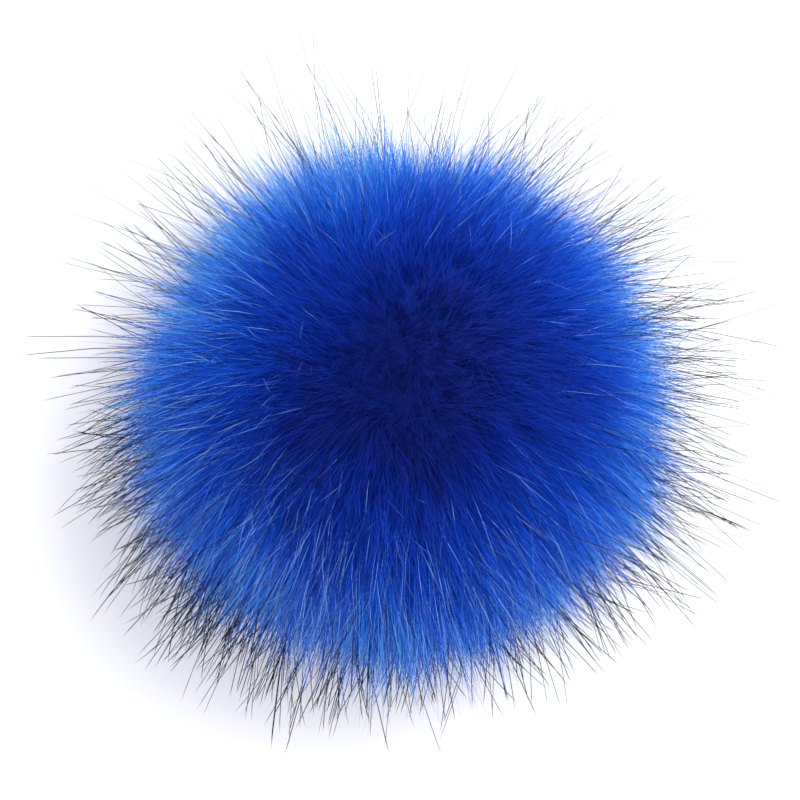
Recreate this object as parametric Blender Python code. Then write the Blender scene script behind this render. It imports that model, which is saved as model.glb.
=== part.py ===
"""A fur pom pom: a disc of long-pile fur fabric gathered into a ball, lying on its gathered underside.

The pile stands out all round the ball in pointed locks. Each lock is three-sided, is rooted in the
ball, and keeps to its own cell of the ball's surface, so that it touches no other lock. Underneath,
the locks are pressed short and end level on the table, and those just above them turn outwards along
it. Metres, +Z up. The origin is on the table, at the centre of the part's outline.
"""

import math
import random

import bmesh
import bpy
from mathutils import Vector, noise

# Driving dimensions
SPREAD = 0.150             # across the tips of the longest hairs, seen from above
BALL_RADIUS = 0.040        # the gathered cloth with the woolly roots of its pile
CENTRE_HEIGHT = 0.050      # of the ball over the table: its own weight presses the pile under it
LONGEST_REACH = 0.075      # from the ball's centre to the tip of the longest lock
SHORTEST_REACH = 0.058
TOP_REACH = 0.062          # locks on the upper side bow over under their own weight
TOP_ANGLE = math.radians(60)       # within this angle of straight up

# The locks
CORNER_COUNT = 150         # points on the ball between which the locks are rooted, two locks to a point
CORNER_JITTER = 0.07       # how far a point strays from an even spread, in radians
PRESSED_ANGLE = math.radians(36)   # locks within this angle of straight down are pressed short
TIP_WIDTH = 0.04           # of a lock's root width
LEAN = Vector((-0.0020, -0.0010, 0.0))   # the whole pile is brushed this way, at its tips
SWAY = 0.0055              # how far tips stray from that, in broad waves over the ball
SWAY_WAVES = 1.4           # waves of it over one radius
SWAY_POWER = 1.5           # lean and sway grow from root to tip as this power of the way
SETTLE_HEIGHT = 0.008      # hairs that come this close to the table turn outwards along it
SEED = 12

# A lock's sections from root to tip: how far along it, its width as a share of its cell,
# and how far it has moved from the middle of its cell towards the lock's own target there.
SECTIONS = (
    {"along": 0.22, "width": 0.86, "aside": 0.04},
    {"along": 0.45, "width": 0.60, "aside": 0.20},
    {"along": 0.70, "width": 0.26, "aside": 0.50},
    {"along": 1.00, "width": TIP_WIDTH, "aside": 0.80},
)
# A pressed lock stays broad, as the ball's weight holds it against the table.
PRESSED_SECTIONS = (
    {"along": 0.45, "width": 0.84, "aside": 0.04},
    {"along": 0.85, "width": 0.74, "aside": 0.10},
    {"along": 1.00, "width": 0.66, "aside": 0.12},
)

FUR_BLUE = (0.020, 0.130, 0.620, 1.0)
FUR_ROUGHNESS = 0.75


def clear_scene():
    for old in list(bpy.data.objects):
        bpy.data.objects.remove(old, do_unlink=True)


def fur_material():
    material = bpy.data.materials.new("blue_fur")
    material.use_nodes = True
    shader = material.node_tree.nodes["Principled BSDF"]
    shader.inputs["Base Color"].default_value = FUR_BLUE
    shader.inputs["Roughness"].default_value = FUR_ROUGHNESS
    shader.inputs["Metallic"].default_value = 0.0
    return material


def root_corners(chance):
    """Directions from the ball's centre, spread evenly by a spiral and then jittered."""
    golden_turn = math.pi * (3 - math.sqrt(5))
    corners = []
    for i in range(CORNER_COUNT):
        height = 1 - 2 * (i + 0.5) / CORNER_COUNT
        ring = math.sqrt(1 - height * height)
        turn = i * golden_turn
        spot = Vector((ring * math.cos(turn), ring * math.sin(turn), height))
        stray = Vector([chance.uniform(-CORNER_JITTER, CORNER_JITTER) for _ in range(3)])
        corners.append((spot + stray).normalized())
    return corners


def cloth_ball(corners):
    """The gathered cloth: a closed ball of triangles, one for the root of each lock."""
    mesh = bmesh.new()
    for corner in corners:
        mesh.verts.new(corner * BALL_RADIUS)
    bmesh.ops.convex_hull(mesh, input=mesh.verts)
    bmesh.ops.recalc_face_normals(mesh, faces=mesh.faces)
    return mesh


def reach_of(direction, chance):
    """How far from the ball's centre a lock in this direction ends."""
    reach = chance.uniform(SHORTEST_REACH, LONGEST_REACH)
    return min(reach, TOP_REACH) if direction.z > math.cos(TOP_ANGLE) else reach


def ring_directions(corners, section, target):
    """The directions of a section's corners: narrowed, and moved aside, but within the lock's cell."""
    middle = sum(corners, Vector()) / 3
    centre = middle.lerp(target, section["aside"])
    return [(centre + (corner - middle) * section["width"]).normalized() for corner in corners]


def inside_target(corners, chance):
    """A point of the cell that the lock's tip turns to, chosen by three shares that add up to 1."""
    shares = [chance.random() for _ in corners]
    weighted = [corner * share for corner, share in zip(sorted(corners, key=tuple), shares)]
    return sum(weighted, Vector()) / sum(shares)


def in_order(faces):
    """The faces from the bottom up, so that each gets the same random draws in every run."""
    return sorted(faces, key=lambda face: tuple(face.calc_center_median().zxy))


def grow_lock(mesh, root, chance):
    """Extrudes a root triangle into a lock, and returns the vertices that end level on the table."""
    corners = [vertex.co.normalized() for vertex in root.verts]
    direction = sum(corners, Vector()).normalized()
    target = inside_target(corners, chance)
    pressed = -direction.z > math.cos(PRESSED_ANGLE)
    reach = reach_of(direction, chance)
    end = root
    for section in PRESSED_SECTIONS if pressed else SECTIONS:
        end = bmesh.ops.extrude_discrete_faces(mesh, faces=[end])["faces"][0]
        for vertex, ray in zip(end.verts, ring_directions(corners, section, target)):
            tip = CENTRE_HEIGHT / -ray.z if pressed else reach
            vertex.co = ray * (BALL_RADIUS + (tip - BALL_RADIUS) * section["along"])
    return list(end.verts) if pressed else []


def comb(point):
    """Leans and sways a point of the pile, the more the further out it is. Roots stay where they are."""
    out = max(0.0, (point.length - BALL_RADIUS) / (LONGEST_REACH - BALL_RADIUS))
    ease = out ** SWAY_POWER
    waves = noise.noise_vector(point.normalized() * SWAY_WAVES)
    return point + (LEAN + waves * SWAY) * ease


def settle(height):
    """Keeps a height over the table: near it, the pile is squeezed into ever thinner layers."""
    if height >= SETTLE_HEIGHT:
        return height
    return SETTLE_HEIGHT * math.exp((height - SETTLE_HEIGHT) / SETTLE_HEIGHT)


def lay_on_table(mesh, level):
    """Combs the pile, stands the ball at its height and rests the pressed ends on the table."""
    for vertex in mesh.verts:
        vertex.co = comb(vertex.co)
        vertex.co.z = 0.0 if vertex in level else settle(vertex.co.z + CENTRE_HEIGHT)


def fit_outline(mesh):
    """Brings the outline to its spread, and its centre over the origin."""
    for axis in (0, 1):
        places = [vertex.co[axis] for vertex in mesh.verts]
        middle = (max(places) + min(places)) / 2
        grown = SPREAD / (max(places) - min(places))
        for vertex in mesh.verts:
            vertex.co[axis] = (vertex.co[axis] - middle) * grown


def pom_pom():
    chance = random.Random(SEED)
    noise.seed_set(SEED)
    mesh = cloth_ball(root_corners(chance))
    level = set()
    for root in in_order(mesh.faces):
        level.update(grow_lock(mesh, root, chance))
    lay_on_table(mesh, level)
    fit_outline(mesh)
    data = bpy.data.meshes.new("pom_pom")
    mesh.to_mesh(data)
    mesh.free()
    data.materials.append(fur_material())
    built = bpy.data.objects.new("pom_pom", data)
    bpy.context.scene.collection.objects.link(built)
    return built


clear_scene()
pom_pom()
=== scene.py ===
# %% [markdown]
# # A fur pom pom
#
# The object is a ball of long-pile faux fur, about 15 cm across its hair tips. A maker cuts a disc of
# fur cloth, gathers it by its edge and pulls it tight, so that the pile stands out all round. It lies
# on a white table and is seen from straight above.
#
# This script dresses the solid model of it. Real fur cloth has two kinds of hair, and so has this
# one: a dense soft pile, dyed royal blue, and long stiff guard hairs, blue with black tips. Blender
# has a hair system, but its hairs aren't meshes, and this model is also handed on as meshes. So a few
# single hairs are modelled by hand, and then copied along thousands of computed lines.

# %% Tools and the frame
import math

import bpy
import numpy as np
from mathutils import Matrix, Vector, kdtree


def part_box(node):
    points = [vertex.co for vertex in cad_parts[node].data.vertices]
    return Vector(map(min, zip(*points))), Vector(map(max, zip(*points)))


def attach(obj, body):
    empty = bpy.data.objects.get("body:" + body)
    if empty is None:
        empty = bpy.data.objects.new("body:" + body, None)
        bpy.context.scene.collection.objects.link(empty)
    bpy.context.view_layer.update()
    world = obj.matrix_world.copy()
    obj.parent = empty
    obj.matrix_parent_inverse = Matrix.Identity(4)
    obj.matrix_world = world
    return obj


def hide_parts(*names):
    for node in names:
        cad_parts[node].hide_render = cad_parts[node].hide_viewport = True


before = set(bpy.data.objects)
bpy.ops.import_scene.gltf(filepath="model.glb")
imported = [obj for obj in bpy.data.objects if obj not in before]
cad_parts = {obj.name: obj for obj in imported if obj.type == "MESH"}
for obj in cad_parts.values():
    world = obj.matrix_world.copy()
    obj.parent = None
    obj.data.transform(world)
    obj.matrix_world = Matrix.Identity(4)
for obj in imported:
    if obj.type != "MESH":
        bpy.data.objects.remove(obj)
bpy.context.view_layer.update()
low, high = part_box("pom_pom")
print("The solid reaches from", low, "to", high)

# %% [markdown]
# ## Driving sizes
#
# All sizes are in metres. The outline comes from the solid; what is inside the pile, such as the size
# of the gathered ball, comes from how such pom poms are made.

# %% Sizes
SPREAD = high.x - low.x                           # across the longest hair tips
UNDERFUR_RADIUS = 0.0425                          # the gathered cloth with its woolly underfur
ROOT_REACH = UNDERFUR_RADIUS - 0.0015             # from the ball's centre to the hair roots
BALL_CENTRE = np.array([0.0010, -0.0006, 0.050])  # its own weight presses the pile below it
CROWN = np.array([0.080, 0.175, 0.981])           # from the centre to where the hair parts
COMB = np.array([0.08, -0.30, 0.0])               # how far a hair is combed aside, for its length
SETTLE_HEIGHT = 0.007                             # hairs this close to the table bend out along it
TABLE_GAP = 0.0003                                # and they end this high over it
SHADES = 64                                       # different tones of hair
chance = np.random.default_rng(7)
print(f"ball {2000 * UNDERFUR_RADIUS:.0f} mm, hair tips {1000 * SPREAD:.0f} mm across")

# %% [markdown]
# ## Camera
#
# The photograph looks straight down. A long lens from a metre away keeps the edges of the ball from
# leaning, as in a product shot. The picture is 800 pixels square and shows a little more than the
# tips of the longest hairs.

# %% Camera
PICTURE_WIDTH = 0.1644          # of what the picture shows, at the height of the ball's middle
CAMERA_DISTANCE = 1.0
PICTURE_CENTRE = Vector((0.0004, 0.0, BALL_CENTRE[2]))

bpy.ops.object.camera_add(location=PICTURE_CENTRE + Vector((0, 0, CAMERA_DISTANCE)), rotation=(0, 0, 0))
camera = bpy.context.object
camera.data.sensor_width = 36
camera.data.lens = camera.data.sensor_width * CAMERA_DISTANCE / PICTURE_WIDTH
camera.data.clip_start, camera.data.clip_end = 0.01, 20
bpy.context.scene.camera = camera
print(f"lens {camera.data.lens:.0f} mm, {CAMERA_DISTANCE} m above the ball's middle")

# %% [markdown]
# ## Shader maths as Python
#
# A small wrapper lets a material be written as an expression. `Wire(socket) * 2 + 1` adds the Math
# nodes that work it out. Any other node comes from `Shading.node`.

# %% Shader helpers
class Wire:
    """A node's output that can be added, multiplied and so on."""

    def __init__(self, shading, socket):
        self.shading, self.socket = shading, socket

    def maths(self, operation, first, second):
        return self.shading.node("ShaderNodeMath", {"operation": operation}, {0: first, 1: second})

    def __add__(self, other):
        return self.maths("ADD", self, other)

    def __sub__(self, other):
        return self.maths("SUBTRACT", self, other)

    def __rsub__(self, other):
        return self.maths("SUBTRACT", other, self)

    def __mul__(self, other):
        return self.maths("MULTIPLY", self, other)

    __radd__, __rmul__ = __add__, __mul__


class Shading:
    """A material with a Principled shader, and one method that adds any node to it."""

    def __init__(self, name):
        self.material = bpy.data.materials.new(name)
        self.material.use_nodes = True
        self.tree = self.material.node_tree
        self.principled = self.tree.nodes["Principled BSDF"]

    def connect(self, value, socket):
        if isinstance(value, Wire):
            self.tree.links.new(value.socket, socket)
        else:
            socket.default_value = value

    def node(self, kind, settings=None, inputs=None, output=0):
        made = self.tree.nodes.new(kind)
        for name, value in (settings or {}).items():
            if name == "stops":
                self.set_stops(made.color_ramp, value)
            else:
                setattr(made, name, value)
        for name, value in (inputs or {}).items():
            self.connect(value, made.inputs[name])
        return Wire(self, made.outputs[output])

    def set_stops(self, ramp, stops):
        while len(ramp.elements) < len(stops):
            ramp.elements.new(0.5)
        for element, (place, colour) in zip(ramp.elements, stops):
            element.position = place
            element.color = (*colour, 1.0)

    def blend(self, how_much, first, second, mode="MIX"):
        settings = {"data_type": "RGBA", "blend_type": mode}
        return self.node("ShaderNodeMix", settings, {0: how_much, 6: first, 7: second}, output=2)

    def rising(self, value, start, slope):
        """0 up to the start, and from there on rising to 1."""
        return self.share((value - start) * slope)

    def falling(self, value, end, slope):
        """1, and falling to 0 at the end."""
        return self.share((end - value) * slope)

    def share(self, value):
        """The value, kept between 0 and 1."""
        return self.node("ShaderNodeClamp", inputs={"Value": value})

    def principled_input(self, name, value):
        self.connect(value, self.principled.inputs[name])


# %% [markdown]
# ## Single hairs
#
# A hair is a thin three-sided tube that ends in a point, and the longer kinds first swell a little
# from their root. Each of the three kinds is modelled once: a filled triangle is extruded ring by
# ring and scaled at each step, as one would by hand, and the last ring is merged to a point. A hair's
# height is 1, so that a height on it is also the share of the way from root to tip.

# %% Model single hairs
HAIR_SIDES = 3


def model_hair(name, rings):
    """rings: how far along the hair each ring is, and its width as a share of the hair's."""
    bpy.ops.object.select_all(action="DESELECT")
    bpy.ops.mesh.primitive_circle_add(vertices=HAIR_SIDES, radius=rings[0]["width"], fill_type="NGON")
    hair = bpy.context.object
    hair.name = name
    bpy.ops.object.mode_set(mode="EDIT")
    for here, following in zip(rings, rings[1:]):
        rise = following["along"] - here["along"]
        bpy.ops.mesh.extrude_region_move(TRANSFORM_OT_translate={"value": (0, 0, rise)})
        narrower = following["width"] / here["width"]
        bpy.ops.transform.resize(value=(narrower, narrower, 1))
    bpy.ops.mesh.merge(type="CENTER")
    bpy.ops.mesh.select_all(action="SELECT")
    bpy.ops.mesh.normals_make_consistent(inside=False)
    bpy.ops.object.mode_set(mode="OBJECT")
    print(name, "has", len(hair.data.vertices), "points and", len(hair.data.polygons), "faces")
    return hair


down_hair = model_hair("down_hair", (
    {"along": 0.00, "width": 1.00},
    {"along": 1.00, "width": 0.10},
))
pile_hair = model_hair("pile_hair", (
    {"along": 0.00, "width": 0.90},
    {"along": 0.55, "width": 1.00},
    {"along": 1.00, "width": 0.10},
))
guard_hair = model_hair("guard_hair", (
    {"along": 0.00, "width": 0.75},
    {"along": 0.30, "width": 0.90},
    {"along": 0.62, "width": 1.00},
    {"along": 0.93, "width": 0.90},
    {"along": 1.00, "width": 0.25},
))

# %% [markdown]
# ## Where the hairs grow
#
# Roots lie evenly all over the ball: points on a spiral from pole to pole, a golden turn apart, are
# nearly the same distance from each other. A little jitter takes the pattern away.

# %% Roots
GOLDEN_TURN = math.pi * (3 - math.sqrt(5))


def unit(vectors):
    return vectors / np.linalg.norm(vectors, axis=-1, keepdims=True)


def spread_over_ball(count, jitter):
    """count directions from the ball's centre, about evenly spread."""
    step = np.arange(count) + 0.5
    height = 1 - 2 * step / count
    ring = np.sqrt(1 - height ** 2)
    turn = step * GOLDEN_TURN + chance.uniform(0, math.tau)
    even = np.stack([ring * np.cos(turn), ring * np.sin(turn), height], axis=1)
    return unit(even + chance.normal(0, jitter / math.sqrt(count), even.shape))


print(f"Each root lies {math.degrees(GOLDEN_TURN):.1f} degrees around the ball from the one before")

# %% [markdown]
# ## Broad waves
#
# Fur is never even: it is brushed this way and that, and some of it is longer. Such changes are
# broad, so they come from a few sine waves in random directions, added up. The same waves always
# come out, because the random numbers start from a fixed seed.

# %% Waves
WAVES_ADDED = 5
WAVES_HEIGHT = 2.2         # of so many waves, added up


def make_waves(count, wavelength, seed):
    """A function that gives, at each direction, count smooth numbers of about -1 to 1."""
    picks = np.random.default_rng(seed)
    ways = unit(picks.normal(size=(count, WAVES_ADDED, 3))) * math.tau / wavelength
    shifts = picks.uniform(0, math.tau, (count, WAVES_ADDED))

    def waves(places):
        return np.sin(np.einsum("nk,cwk->ncw", places, ways) + shifts).sum(axis=2) / WAVES_HEIGHT

    return waves


sway = make_waves(3, wavelength=1.6, seed=1)
fine_sway = make_waves(3, wavelength=0.45, seed=4)
wisp_sway = make_waves(3, wavelength=0.18, seed=5)
length_waves = make_waves(1, wavelength=0.8, seed=2)
wisp_length = make_waves(1, wavelength=0.17, seed=6)
tone_waves = make_waves(1, wavelength=0.5, seed=3)
wisp_tone = make_waves(1, wavelength=0.16, seed=8)
print("The pile at the crown sways by", np.round(sway(CROWN[None])[0], 2))

# %% [markdown]
# ## Locks
#
# The hairs of a pile cling together in small wisps, and the wisps in larger locks. Each hair starts
# at its own root and turns, on its way out, towards the middle of its wisp and of its lock. All the
# hairs of a wisp lean the same way, and are a little longer or lighter than those of the next.

# %% Locks
def nearest(places, centres):
    """For each place, the number of the nearest centre."""
    tree = kdtree.KDTree(len(centres))
    for number, centre in enumerate(centres):
        tree.insert(centre, number)
    tree.balance()
    return np.array([tree.find(place)[1] for place in places])


LOCK_COUNT = 620
WISP_COUNT = 16000
CENTRE_JITTER = 1.6                                      # of the even spacing of locks and of wisps
lock_centres = spread_over_ball(LOCK_COUNT, CENTRE_JITTER)
wisp_centres = spread_over_ball(WISP_COUNT, CENTRE_JITTER)
wisp_turns = chance.normal(0, 0.05, (WISP_COUNT, 3))     # how each wisp leans, in radians
wisp_shades = chance.normal(0, 1, WISP_COUNT)            # how much lighter each one is
wisp_reaches = chance.normal(0, 0.0011, WISP_COUNT)      # how much longer each one is
print(WISP_COUNT, "wisps in", LOCK_COUNT, "locks")

# %% [markdown]
# ## Places on the ball
#
# Much of the fur depends on where on the ball a hair grows: how near to the crown, and in which
# direction from the middle of the picture. These short functions tell that, for many roots at once.

# %% Places on the ball
CROWN_SOFTNESS = 0.10      # how gently near_crown falls: to a third of it at 26 degrees


def near_crown(roots):
    """1 at the crown, and soon 0 away from it."""
    return np.exp((roots @ CROWN - 1) / CROWN_SOFTNESS)


def from_crown(roots):
    """0 at the crown, 1 from about 70 degrees away."""
    return np.clip((1 - roots @ CROWN - 0.03) / 0.62, 0, 1)


def turn_of(roots):
    """The direction from the middle of the picture, in radians: 0 is right, a quarter turn is up."""
    return np.arctan2(roots[:, 1], roots[:, 0])


def facing(turn, azimuth):
    """1 where the turn, in radians, is the azimuth, in degrees, and 0 opposite."""
    return 0.5 + 0.5 * np.cos(turn - math.radians(azimuth))


def lobes(turn, table):
    """Smooth bumps around the ball. table: each one's azimuth and spread, in degrees, and its height."""
    total = np.zeros(len(turn))
    for azimuth, spread, height in table:
        off = np.degrees(np.arccos(np.cos(turn - math.radians(azimuth)).clip(-1, 1)))
        total += height * np.exp(-(off / spread) ** 2)
    return total


print("At the crown, near_crown is", near_crown(CROWN), "and from_crown", from_crown(CROWN))

# %% [markdown]
# ## Hair lines
#
# A hair's line runs out from the ball. Its points are worked out for all the hairs of a layer at
# once, ring by ring: first the direction, drawn in to the lock, then the distance, then the way the
# pile is brushed, which is outwards from the crown and down the picture, then the hair's own bend.
# At last, what would go through the table is squeezed into a thin layer on it, so that those hairs
# lie down and splay.

# %% Hair lines
# The waves, how far each moves a tip for the hair's length, and how much further at the crown
SWAYS = (
    (sway, 0.10, 0.05),
    (fine_sway, 0.09, 0.20),
    (wisp_sway, 0.09, 0.10),
)
# How far a hair hangs down, for its length
SAG = 0.12
# The share that each of these loses at the crown, where the hairs point at the eye
CALMER = {"stray": 0.3, "wisping": 0.75, "bend": 0.6}
# Each hair has its own share of these, between two bounds
UNEVEN = {"flow": (0.6, 1.4), "wisping": (0.3, 1.2), "locking": (0.0, 2.0)}
# With which power of the way from root to tip each of these grows
POWERS = {"locking": 1.6, "wisping": 1.2, "brushing": 1.3, "bend": 1.7}


def away_from_crown(roots):
    """Along the ball's surface, straight away from the crown. Longest about 65 degrees from it."""
    towards_crown = roots @ CROWN
    away = roots * towards_crown[:, None] - CROWN
    return away * ((0.6 + 0.4 * towards_crown) * (1.3 + 1.3 * near_crown(roots)))[:, None]


def combed_aside(roots):
    """The comb's pull, along the ball's surface."""
    return COMB - roots * (roots @ COMB)[:, None]


def hair_lines(roots, length, along, locking, wisping, bend, flow, stray, combed=1.0):
    """The points of each hair's line: hairs, rings, xyz.

    flow: how far its tip is brushed outwards. stray: how far its direction is off its neighbours'.
    combed: how much of the comb's pull it follows.
    """
    def unevenly(what):
        return chance.uniform(*UNEVEN[what], (len(roots), 1))

    in_wisp = nearest(roots, wisp_centres)
    lock, wisp = lock_centres[nearest(roots, lock_centres)], wisp_centres[in_wisp]
    across = unit(np.cross(roots, unit(chance.normal(size=roots.shape))))
    crown = near_crown(roots)[:, None]
    off = chance.normal(0, 1, roots.shape) * np.reshape(stray, (-1, 1)) + wisp_turns[in_wisp]
    off *= 1 - CALMER["stray"] * crown
    swayed = sum(waves(roots) * (plain + extra * crown) for waves, plain, extra in SWAYS)
    swayed[:, 2] = -SAG
    swayed += combed_aside(roots) * combed
    brushed = swayed * length[:, None] + away_from_crown(roots) * flow * unevenly("flow")
    wisping = wisping * unevenly("wisping") * (1 - CALMER["wisping"] * crown)
    locking = locking * unevenly("locking")
    bend = bend[:, None] * (1 - CALMER["bend"] * crown)
    lines = np.empty((len(roots), len(along), 3))
    for ring, way in enumerate(along):
        towards = roots + (lock - roots) * locking * way ** POWERS["locking"]
        towards += (wisp - roots) * wisping * way ** POWERS["wisping"]
        towards += off * way
        distance = (ROOT_REACH + length * way)[:, None]
        aside = brushed * way ** POWERS["brushing"] + across * bend * way ** POWERS["bend"]
        lines[:, ring] = unit(towards) * distance + aside
    return settle(lines + BALL_CENTRE)


def settle(points):
    """Squeezes what is near or under the table into a thin layer over it."""
    height, room = points[..., 2], SETTLE_HEIGHT - TABLE_GAP
    squeezed = TABLE_GAP + room * np.exp((np.minimum(height, SETTLE_HEIGHT) - SETTLE_HEIGHT) / room)
    points[..., 2] = np.where(height < SETTLE_HEIGHT, squeezed, height)
    return points


# %% [markdown]
# ## Copying the hair
#
# One of the hairs that were modelled one by one is copied along every line. At each ring, two directions
# square to the line carry the tube's triangle. The copies are one mesh for each layer of the fur.
#
# Each copy's UV map says two things: across, which of 64 tones the hair has, and up, how far along
# the hair a point is. All of a hair's colour is read from it, so that it goes with the mesh.

# %% Copy a hair along lines
def read_hair(hair):
    """The hair's points, the corners of its faces, and each face's number of corners."""
    mesh = hair.data
    points = np.array([vertex.co for vertex in mesh.vertices])
    corners = np.array([loop.vertex_index for loop in mesh.loops])
    totals = np.array([polygon.loop_total for polygon in mesh.polygons])
    return points, corners, totals


def rings_of(hair):
    """How far along each ring is."""
    return np.unique(np.round([vertex.co.z for vertex in hair.data.vertices], 4))


def sweep(points, ring_of, lines, half_width):
    """Where the hair's points are on each line: hairs, points, xyz."""
    tangent = unit(np.gradient(lines, axis=1))
    outward = np.broadcast_to(unit(lines[:, :1] - lines[:, -1:] + 1e-9), tangent.shape)
    helper = unit(np.cross(outward, unit(chance.normal(size=(len(lines), 1, 3)))))
    side = unit(helper - tangent * np.sum(helper * tangent, axis=2, keepdims=True))
    over = np.cross(tangent, side)
    width = half_width[:, None, None]
    return lines[:, ring_of] + width * (
        points[:, 0][None, :, None] * side[:, ring_of] + points[:, 1][None, :, None] * over[:, ring_of]
    )


def join_copies(name, places, corners, totals):
    """One mesh with the faces of the hair, once for each row of places."""
    count = len(places)
    mesh = bpy.data.meshes.new(name)
    mesh.vertices.add(places.shape[0] * places.shape[1])
    mesh.vertices.foreach_set("co", places.astype(np.float32).ravel())
    copy = np.arange(count)[:, None]
    mesh.loops.add(count * len(corners))
    mesh.loops.foreach_set("vertex_index", (copy * places.shape[1] + corners).astype(np.int32).ravel())
    starts = np.concatenate([[0], np.cumsum(totals)[:-1]])
    mesh.polygons.add(count * len(totals))
    mesh.polygons.foreach_set("loop_start", (copy * len(corners) + starts).astype(np.int32).ravel())
    mesh.update(calc_edges=True)
    mesh.polygons.foreach_set("use_smooth", np.ones(count * len(totals), bool))
    return mesh


COLUMN_MARGIN = 0.1        # of a tone's column that a hair leaves free at each side
END_MARGIN = 0.01          # of the map's height that it leaves free at each end


def write_tones(mesh, points, corners, tone):
    """The UV map: across, the column of the hair's tone, and up, the way from root to tip."""
    turn = np.arctan2(points[:, 1], points[:, 0]) / math.tau + 0.5
    column = np.floor(tone * SHADES).clip(0, SHADES - 1)
    across = column[:, None] + COLUMN_MARGIN + (1 - 2 * COLUMN_MARGIN) * turn[corners][None]
    across /= SHADES
    up = np.broadcast_to(END_MARGIN + (1 - 2 * END_MARGIN) * points[:, 2][corners][None], across.shape)
    uv_map = mesh.uv_layers.new(name="OFBake")
    uv_map.uv.foreach_set("vector", np.stack([across, up], axis=2).astype(np.float32).ravel())


def copy_along(name, hair, lines, half_width, tone):
    points, corners, totals = read_hair(hair)
    ring_of = np.searchsorted(rings_of(hair), np.round(points[:, 2], 4))
    mesh = join_copies(name, sweep(points, ring_of, lines, half_width), corners, totals)
    write_tones(mesh, points, corners, tone)
    piece = bpy.data.objects.new(name, mesh)
    bpy.context.scene.collection.objects.link(piece)
    print(f"{name}: {len(lines)} hairs, {sum(totals - 2) * len(lines)} triangles")
    return piece


# %% [markdown]
# ## The colour of a hair
#
# The tones run from deep navy, which is painted shade at the crown, through royal blue, to a clear light
# blue, which is painted light coming through the hairs. The last ones are for the few hairs with a painted
# glint, pale or ash grey. A light hair has painted shade at its root and painted light, an azure glow,
# towards its tip. A dark one is painted lighter at its root, against the shade deep in the pile, and duller
# at its tip. A guard hair starts in the same blues and then turns black, the sooner the darker it is.

# %% Hair materials
DYES_AND_PAINTED_LIGHT = (
    (0.00, (0.0034, 0.0135, 0.175)),    # navy, painted shade at the crown
    (0.11, (0.0026, 0.0290, 0.370)),
    (0.21, (0.0024, 0.0500, 0.520)),
    (0.37, (0.0030, 0.0930, 0.680)),    # royal blue
    (0.57, (0.0080, 0.1750, 0.880)),
    (0.78, (0.0350, 0.3150, 0.960)),    # clear blue, painted light where light comes through
)
# A painted glow for light coming through clear hair tips, and pale and ash grey painted glints
PAINTED_GLOW = (0.1300, 0.5200, 0.9500, 1.0)
PAINTED_GLINT = (0.3400, 0.5600, 1.0000, 1.0)
PAINTED_ASH_GLINT = (0.2600, 0.3200, 0.3900, 1.0)
BLACK = (0.0050, 0.0050, 0.0090, 1.0)

# How bright the dye is painted along a hair, first near its root and then near its tip: in the darkest
# hairs, in somewhat lighter ones, and in light ones. This is painted light and shade: dark hairs are
# painted lighter at the root, against the shade deep in the pile, and light ones shaded at the root and lit
# at the tip
CROWN_PAINTED_SHADING = ((0.1, (1.45,) * 3), (0.9, (0.95,) * 3))
DARK_PAINTED_SHADING = ((0.1, (1.6,) * 3), (0.9, (0.76,) * 3))
LIGHT_PAINTED_SHADING = ((0.1, (0.42,) * 3), (0.9, (1.4,) * 3))

GLOW_FROM = 0.42          # the tone from which the tip gets the painted azure glow
GLINT_FROM = 0.80          # the tone from which the hair gets a pale painted glint
ASH_GLINT_FROM = 0.975           # the tone from which the painted glint is ash grey instead
BLACK_FROM, BLACK_LATER = 0.03, 1.1    # where a guard hair turns black, and how much later for its tone


def start_hair_material(name):
    """A material with the hair's dye and its painted light and shade, and the two coordinates that they
    were read from.
    """
    shading = Shading(name)
    uv_map = shading.node("ShaderNodeUVMap", {"uv_map": "OFBake"})
    tone = shading.node("ShaderNodeSeparateXYZ", inputs={0: uv_map}, output=0)
    along = shading.node("ShaderNodeSeparateXYZ", inputs={0: uv_map}, output=1)
    dye_and_light = shading.node("ShaderNodeValToRGB", {"stops": DYES_AND_PAINTED_LIGHT}, {0: tone})
    ramps = [
        shading.node("ShaderNodeValToRGB", {"stops": stops}, {0: along})
        for stops in (CROWN_PAINTED_SHADING, DARK_PAINTED_SHADING, LIGHT_PAINTED_SHADING)
    ]
    # Painted light and shade along the hair, by its tone
    shade = shading.blend(shading.rising(tone, 0.0, slope=7), ramps[0], ramps[1])
    shade = shading.blend(shading.rising(tone, 0.0, slope=2), shade, ramps[2])
    dye_and_light = shading.blend(1.0, dye_and_light, shade, mode="MULTIPLY")
    # Painted azure glow at the tips of light hairs, for light coming through them
    glowing_tip = shading.rising(along, 0.4, slope=2) * shading.rising(tone, GLOW_FROM, slope=2.6)
    dye_and_light = shading.blend(glowing_tip, dye_and_light, PAINTED_GLOW)
    # Painted glints, pale or ash grey, over a stretch of the hair
    glint_colour = shading.blend(shading.rising(tone, ASH_GLINT_FROM, slope=90), PAINTED_GLINT, PAINTED_ASH_GLINT)
    glint_stretch = shading.rising(along, 0.25, slope=6) * shading.falling(along, 0.95, slope=8)
    dye_and_light = shading.blend(shading.rising(tone, GLINT_FROM, slope=5) * glint_stretch, dye_and_light, glint_colour)
    return shading, dye_and_light, tone, along


def pile_dye_and_light():
    shading, dye_and_light, _, _ = start_hair_material("royal_blue_pile")
    shading.principled_input("Base Color", dye_and_light)
    shading.principled_input("Roughness", 0.5)
    shading.principled_input("Specular IOR Level", 0.12)
    return shading.material


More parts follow.
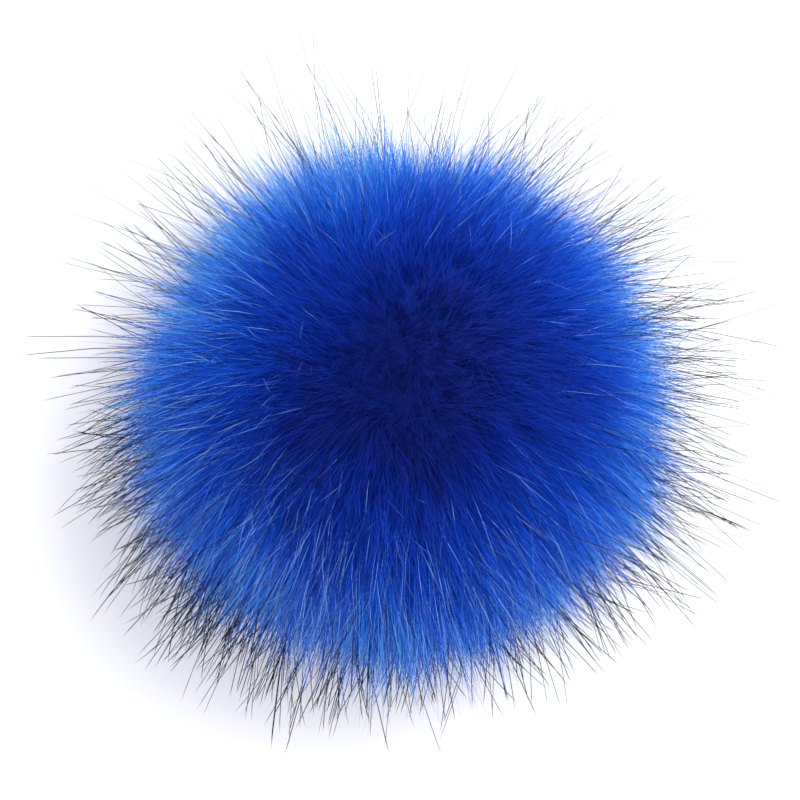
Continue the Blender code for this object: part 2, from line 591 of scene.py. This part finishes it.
def guard_dye_and_light():
    shading, dye_and_light, tone, along = start_hair_material("black_tipped_guard_hair")
    blackness = shading.rising(along, BLACK_FROM + BLACK_LATER * tone, slope=7)
    dye_and_light = shading.blend(blackness, dye_and_light, BLACK)
    shading.principled_input("Base Color", dye_and_light)
    shading.principled_input("Roughness", 0.4)
    shading.principled_input("Specular IOR Level", 0.15)
    return shading.material


pile_material, guard_material = pile_dye_and_light(), guard_dye_and_light()
print("materials:", pile_material.name, "and", guard_material.name)

# %% [markdown]
# ## The underfur
#
# Under the pile is the gathered cloth with the matted, woolly underfur. Little of it shows, between
# the hairs, as a soft dark ground, with painted shade that makes it navy at the crown. It starts as an
# icosphere and gets its lumps from displacement.

# %% Underfur
LUMP_SIZE = 0.006
LUMP_HEIGHT = 0.003
UNDERFUR_BLUE = (0.004, 0.050, 0.42, 1.0)                 # away from the crown
UNDERFUR_CROWN_SHADE = (                                         # painted shade at the crown, in fine fibres of two tones
    (0.35, (0.0030, 0.0100, 0.115)),
    (0.65, (0.0034, 0.0125, 0.145)),
)


def matted_underfur():
    shading = Shading("matted_underfur")
    place = shading.node("ShaderNodeTexCoord", output=3)
    out = shading.node("ShaderNodeVectorMath", {"operation": "SUBTRACT"}, {0: place, 1: tuple(BALL_CENTRE)})
    out = shading.node("ShaderNodeVectorMath", {"operation": "NORMALIZE"}, {0: out})
    towards_crown = shading.node(
        "ShaderNodeVectorMath", {"operation": "DOT_PRODUCT"}, {0: out, 1: tuple(CROWN)}, output=1,
    )
    # Painted shade: navy fibres at the crown, blending to blue away from it
    shown = shading.falling(towards_crown, 0.97, slope=1.6)
    fibres = shading.node("ShaderNodeTexNoise", inputs={"Vector": place, "Scale": 700, "Detail": 5})
    dark = shading.node("ShaderNodeValToRGB", {"stops": UNDERFUR_CROWN_SHADE}, {0: fibres})
    shading.principled_input("Base Color", shading.blend(shown, dark, UNDERFUR_BLUE))
    shading.principled_input("Roughness", 0.95)
    shading.principled_input("Specular IOR Level", 0.05)
    bump = shading.node("ShaderNodeBump", inputs={"Strength": 0.4, "Distance": 0.0006, "Height": fibres})
    shading.principled_input("Normal", bump)
    return shading.material


def woolly_ball():
    bpy.ops.object.select_all(action="DESELECT")
    bpy.ops.mesh.primitive_ico_sphere_add(subdivisions=6, radius=UNDERFUR_RADIUS, location=BALL_CENTRE)
    ball = bpy.context.object
    ball.name = "woolly_ball"
    bpy.ops.object.transform_apply(location=True, rotation=True, scale=True)
    lumps = bpy.data.textures.new("lumps", "CLOUDS")
    lumps.noise_scale = LUMP_SIZE
    modifier = ball.modifiers.new("lumps", "DISPLACE")
    modifier.texture, modifier.strength, modifier.mid_level = lumps, LUMP_HEIGHT, 0.5
    bpy.ops.object.modifier_apply(modifier=modifier.name)
    bpy.ops.object.shade_smooth()
    ball.data.materials.append(matted_underfur())
    return ball


ball = woolly_ball()
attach(ball, "root")
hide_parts("pom_pom")
print("woolly_ball:", len(ball.data.polygons), "faces")

# %% [markdown]
# ## The layers of the fur
#
# From the ball outwards, the pile has five layers, each longer than the one below it and no coarser.
# The soft edge of the ball comes from how their lengths overlap. Each hair's tone depends on how far
# from the crown it grows, with painted shade at the crown, and on the wisp that it is in.
#
# The ball isn't quite round, and its tone changes in broad patches. Two short lists tell how the
# pile's length and its tone change around the ball: where, how widely, and by how much.

# %% Grow the layers
LONGER = (                 # azimuth and spread in degrees, and metres
    (60, 22, -0.0015),
    (138, 28, -0.0028),
    (188, 24, 0.0034),
    (242, 20, -0.0022),
    (320, 26, -0.0012),
    (354, 16, 0.0014),
)
LIGHTER = (                # azimuth and spread in degrees, and tone
    (50, 28, -0.050),
    (134, 24, 0.035),
    (180, 22, -0.035),
    (240, 34, -0.025),
    (318, 22, -0.010),
)
BROAD_PATCHES = (          # how many around the ball, the turn of one of them in radians, and tone
    (1, 0.90, 0.065),
    (2, 2.36, 0.045),
    (3, 0.14, 0.035),
)
HEAVY_SIDE = np.array([-0.90, -0.70, 0.0])     # where the pile is a little longer,
HEAVIER = 0.0015                               # and by how much
UNEVEN_LENGTH = 0.0010                         # how much longer it gets in waves and in wisps
CROWN_SHADE_TONE, TONE_RISE = 0.03, 0.58             # the tone at the crown, which is painted shade, and how much lighter it gets
UNDERSIDE = -0.08                              # the height, for a radius of 1, below which the underside gets painted shade, and how deep
UNDERSIDE_PAINTED_SHADE = 0.35
TOP_LIGHTER = 0.12                             # towards the top of the picture
LIGHTEST_TONE = 0.78                           # of hairs that don't shine
GLINT_TONES = (0.87, 0.99)
DEEP_SHARE, DEEPER = 0.15, 0.25                # the share of deeper hairs, and how much deeper
GLINTS = {"anywhere": 0.15, "rim": 0.40, "lower_left": 0.60}     # how often a hair gets a painted glint
GLINT_STRAY, GLINT_WIDTH = 1.4, 0.65           # of what other hairs have
FINER_AT_CROWN = 0.4                           # the share of its width that a hair loses there
WIDTHS = (0.75, 1.2)                           # from the finest to the thickest, of the layer's width
PILE_BEND = 0.0022                             # about how far a tip bends aside


def grow(name, hair, material, lines, half_width, tone):
    piece = copy_along(name, hair, lines, half_width, tone)
    piece.data.materials.append(material)
    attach(piece, "root")
    return piece


def pile_tone(roots, variety=1.0):
    """Deep navy at the crown, as painted shade, and clear blue around it, a little different from hair to
    hair.

    It is lighter and darker in broad patches, and the hidden underside gets painted shade.
    """
    shown, turn = from_crown(roots), turn_of(roots)
    # Painted shade: darkest at the crown, where the hairs point at the eye, and lighter away from it
    tone = CROWN_SHADE_TONE + TONE_RISE * shown
    # How much it differs by hair, by wave and by wisp: least at the crown
    by_hair = 0.005 + 0.045 * shown + 0.12 * shown ** 3
    by_wave = 0.012 + 0.050 * shown
    by_wisp = 0.002 + 0.062 * shown
    tone += by_hair * variety * chance.normal(0, 1, len(roots))
    tone += by_wave * (tone_waves(roots)[:, 0] + wisp_tone(roots)[:, 0])
    tone += by_wisp * wisp_shades[nearest(roots, wisp_centres)]
    # Painted shade on the underside, deeper the lower the root
    tone -= UNDERSIDE_PAINTED_SHADE * (UNDERSIDE - roots[:, 2]).clip(0, 1)
    tone += TOP_LIGHTER * shown ** 2 * roots[:, 1]
    patches = sum(height * np.cos(number * (turn - middle)) for number, middle, height in BROAD_PATCHES)
    tone += np.sqrt(shown) * (patches + lobes(turn, LIGHTER))
    tone -= DEEPER * shown * (chance.uniform(size=len(roots)) < DEEP_SHARE)
    return np.clip(tone, 0, LIGHTEST_TONE)


def glinting(roots, share):
    """Which hairs get a painted glint: more of them at the rim and to the lower left, none at the crown."""
    shown = from_crown(roots)
    often = GLINTS["anywhere"] + GLINTS["rim"] * shown ** 2
    often += GLINTS["lower_left"] * facing(turn_of(roots), 225)
    often *= np.clip((shown - 0.10) / 0.5, 0, 1)
    return chance.uniform(size=len(roots)) < share * often


def pile_reach(roots, reach, skew):
    """How far from the ball's centre the hairs end. skew: the higher, the more of them are short."""
    shortest, longest = reach
    ends = shortest + (longest - shortest) * chance.beta(2, skew, len(roots))
    ends += UNEVEN_LENGTH * length_waves(roots)[:, 0] + UNEVEN_LENGTH * wisp_length(roots)[:, 0]
    ends += wisp_reaches[nearest(roots, wisp_centres)]
    return ends + (lobes(turn_of(roots), LONGER) + HEAVIER * (roots @ HEAVY_SIDE))


def grow_pile(
    name, hair, count, reach, skew, half_width, locking, wisping, flow, stray, glints=0, variety=1.0,
):
    """One layer. Hairs with a painted glint are finer than the others and lie less close. All are finer at
    the crown.
    """
    roots = spread_over_ball(count, jitter=2.0)
    ends = pile_reach(roots, reach, skew)
    glint_hair = glinting(roots, glints)
    # Hairs with a painted glint get one of the glint tones
    tone = np.where(glint_hair, chance.uniform(*GLINT_TONES, count), pile_tone(roots, variety))
    lines = hair_lines(
        roots, ends - ROOT_REACH, rings_of(hair), locking, wisping,
        bend=np.abs(chance.normal(0, PILE_BEND, count)), flow=flow,
        stray=stray * np.where(glint_hair, GLINT_STRAY, 1.0),
    )
    finer = np.where(glint_hair, GLINT_WIDTH, 1 - FINER_AT_CROWN * near_crown(roots))
    width = half_width * chance.uniform(*WIDTHS, count) * finer
    return grow(name, hair, pile_material, lines, width, tone)


grow_pile(
    "down", down_hair, count=30000, reach=(0.0430, 0.0475), skew=2.0, half_width=0.000110,
    locking=0.05, wisping=0.5, flow=0.004, stray=0.010,
)
grow_pile(
    "short_pile", down_hair, count=36000, reach=(0.0450, 0.0505), skew=2.0, half_width=0.000100,
    locking=0.10, wisping=0.6, flow=0.006, stray=0.012,
)
grow_pile(
    "full_pile", down_hair, count=42000, reach=(0.0465, 0.0535), skew=2.0, half_width=0.000082,
    locking=0.15, wisping=0.7, flow=0.006, stray=0.016, glints=0.06,
)
grow_pile(
    "long_pile", down_hair, count=45000, reach=(0.0475, 0.0605), skew=2.6, half_width=0.000075,
    locking=0.15, wisping=0.8, flow=0.006, stray=0.022, glints=0.14, variety=1.4,
)
grow_pile(
    "top_pile", pile_hair, count=19000, reach=(0.0495, 0.0680), skew=3.2, half_width=0.000075,
    locking=0.10, wisping=0.8, flow=0.007, stray=0.030, glints=0.25, variety=1.6,
)

# %% [markdown]
# ## Guard hairs
#
# The guard hairs are the ones that stand free of the ball in the photograph. They stand most thickly
# at the lower left, less so at the bottom and at both sides, and are sparse and thin at the top. The
# last layer is of very fine, silky hairs that stray over the pile. Some of them get a painted glint.

# %% Guard hairs
GUARD_CHOICES = 13200                              # places where one could grow
GUARD_LOBES = ((205, 38, 0.38), (45, 25, 0.05))    # azimuth and spread in degrees, and density
GUARD_SHORTEST, GUARD_RANGE = 0.058, 0.0175        # from the ball's centre
GUARD_HALF_WIDTH = 0.000118
GUARD_BEND = 0.0014                                # about how far a tip bends aside
SILKY_COUNT = 6000
SILKY_SHORTEST, SILKY_RANGE = 0.051, 0.010
SILKY_HALF_WIDTH = 0.000045
SILKY_BEND = 0.003
SILKY_LIGHTER = 0.06                               # than the pile, in tone
# how often a silky hair gets a painted glint, and the tones of its glint
SILKY_GLINTS, SILKY_GLINT_TONES = 0.6, (0.88, 0.99)


def guard_density(roots):
    """How thickly the guard hairs stand at each root, from 0 to 1: hardly any on the upper side."""
    turn = turn_of(roots)
    # Some all round, and more at the bottom, at the right, and in the lobes
    around = 0.08 + 0.03 * facing(turn, 285) + 0.14 * facing(turn, 345) ** 2
    around += lobes(turn, GUARD_LOBES)
    return around * np.clip((0.55 - roots[:, 2]) / 0.4, 0, 1) + 0.02


def guard_reach(roots):
    """How far from the ball's centre they end, before they are brushed and bent aside."""
    turn = turn_of(roots)
    ends = GUARD_SHORTEST + GUARD_RANGE * chance.beta(2.0, 2.0, len(roots))
    # Longer at both sides and shorter on the upper side, longer again at the left, a few at the top
    ends += 0.004 * (np.cos(turn + 0.1) ** 2 - 0.5) - 0.006 * roots[:, 2].clip(0, 1)
    ends += 0.0018 * facing(turn, 195) ** 3
    ends += 0.0100 * facing(turn, 75) ** 2 * chance.uniform(size=len(roots)) ** 3
    return np.minimum(ends, SPREAD / 2)


def grow_guard_hairs():
    roots = spread_over_ball(GUARD_CHOICES, jitter=3.0)
    roots = roots[chance.uniform(size=GUARD_CHOICES) < guard_density(roots)]
    count = len(roots)
    lines = hair_lines(
        roots, guard_reach(roots) - ROOT_REACH, rings_of(guard_hair), locking=0.15, wisping=0.1,
        bend=np.abs(chance.normal(0, GUARD_BEND, count)), flow=0.003,
        stray=0.055 + 0.08 * guard_density(roots), combed=0.5,
    )
    thicker = 0.55 + 0.42 * facing(turn_of(roots), 255)
    grow(
        "guard_hairs", guard_hair, guard_material, lines,
        half_width=GUARD_HALF_WIDTH * chance.uniform(0.6, 1.1, count) * thicker,
        tone=np.clip(0.27 - 0.07 * roots[:, 1] + chance.normal(0, 0.08, count), 0, 0.6),
    )


def grow_silky_hairs():
    roots = spread_over_ball(SILKY_COUNT, jitter=3.0)
    ends = SILKY_SHORTEST + SILKY_RANGE * chance.beta(1.5, 3.0, SILKY_COUNT)
    lines = hair_lines(
        roots, ends - ROOT_REACH, rings_of(pile_hair), locking=0.15, wisping=0.2,
        bend=np.abs(chance.normal(0, SILKY_BEND, SILKY_COUNT)), flow=0.008, stray=0.10, combed=0.8,
    )
    grow(
        "silky_hairs", pile_hair, pile_material, lines,
        half_width=SILKY_HALF_WIDTH * chance.uniform(0.7, 1.1, SILKY_COUNT),
        # Some silky hairs get a painted glint
        tone=np.where(
            glinting(roots, SILKY_GLINTS), chance.uniform(*SILKY_GLINT_TONES, SILKY_COUNT),
            np.clip(pile_tone(roots) + SILKY_LIGHTER, 0, LIGHTEST_TONE),
        ),
    )


grow_guard_hairs()
grow_silky_hairs()
for used_up in (down_hair, pile_hair, guard_hair):
    bpy.data.objects.remove(used_up, do_unlink=True)

# %% [markdown]
# ## Table and light
#
# The product shot has a plain white ground, soft light from everywhere and a broad lamp high at the
# upper right, which leaves one faint shadow at the lower left.

# %% Table and light
def white_table():
    bpy.ops.object.select_all(action="DESELECT")
    bpy.ops.mesh.primitive_plane_add(size=6.0, location=(0, 0, 0))
    table = bpy.context.object
    table.name = "white_table"
    shading = Shading("white_ground")
    shading.principled_input("Base Color", (0.9, 0.9, 0.9, 1.0))
    shading.principled_input("Roughness", 0.9)
    table.data.materials.append(shading.material)


def add_lamp(name, azimuth, elevation, distance, size, watts, colour):
    """A soft lamp that looks at the ball. Azimuth 0 is towards +X, and turns towards +Y."""
    turn, rise = math.radians(azimuth), math.radians(elevation)
    way = Vector((math.cos(turn) * math.cos(rise), math.sin(turn) * math.cos(rise), math.sin(rise)))
    bpy.ops.object.light_add(type="AREA", location=Vector(BALL_CENTRE) + way * distance)
    lamp = bpy.context.object
    lamp.name = name
    lamp.rotation_euler = way.to_track_quat("Z", "Y").to_euler()
    lamp.data.shape, lamp.data.size, lamp.data.energy = "DISK", size, watts
    lamp.data.color = colour


white_table()
add_lamp("key_lamp", azimuth=38, elevation=64, distance=1.5, size=1.0, watts=18, colour=(1, 1, 0.93))

world = bpy.data.worlds.new("white_room")
world.use_nodes = True
background = world.node_tree.nodes["Background"]
background.inputs["Color"].default_value = (0.97, 0.97, 1.06, 1)
background.inputs["Strength"].default_value = 1.10
bpy.context.scene.world = world
bpy.context.scene.view_settings.view_transform = "Standard"
print("A white table, one broad lamp and a white room")
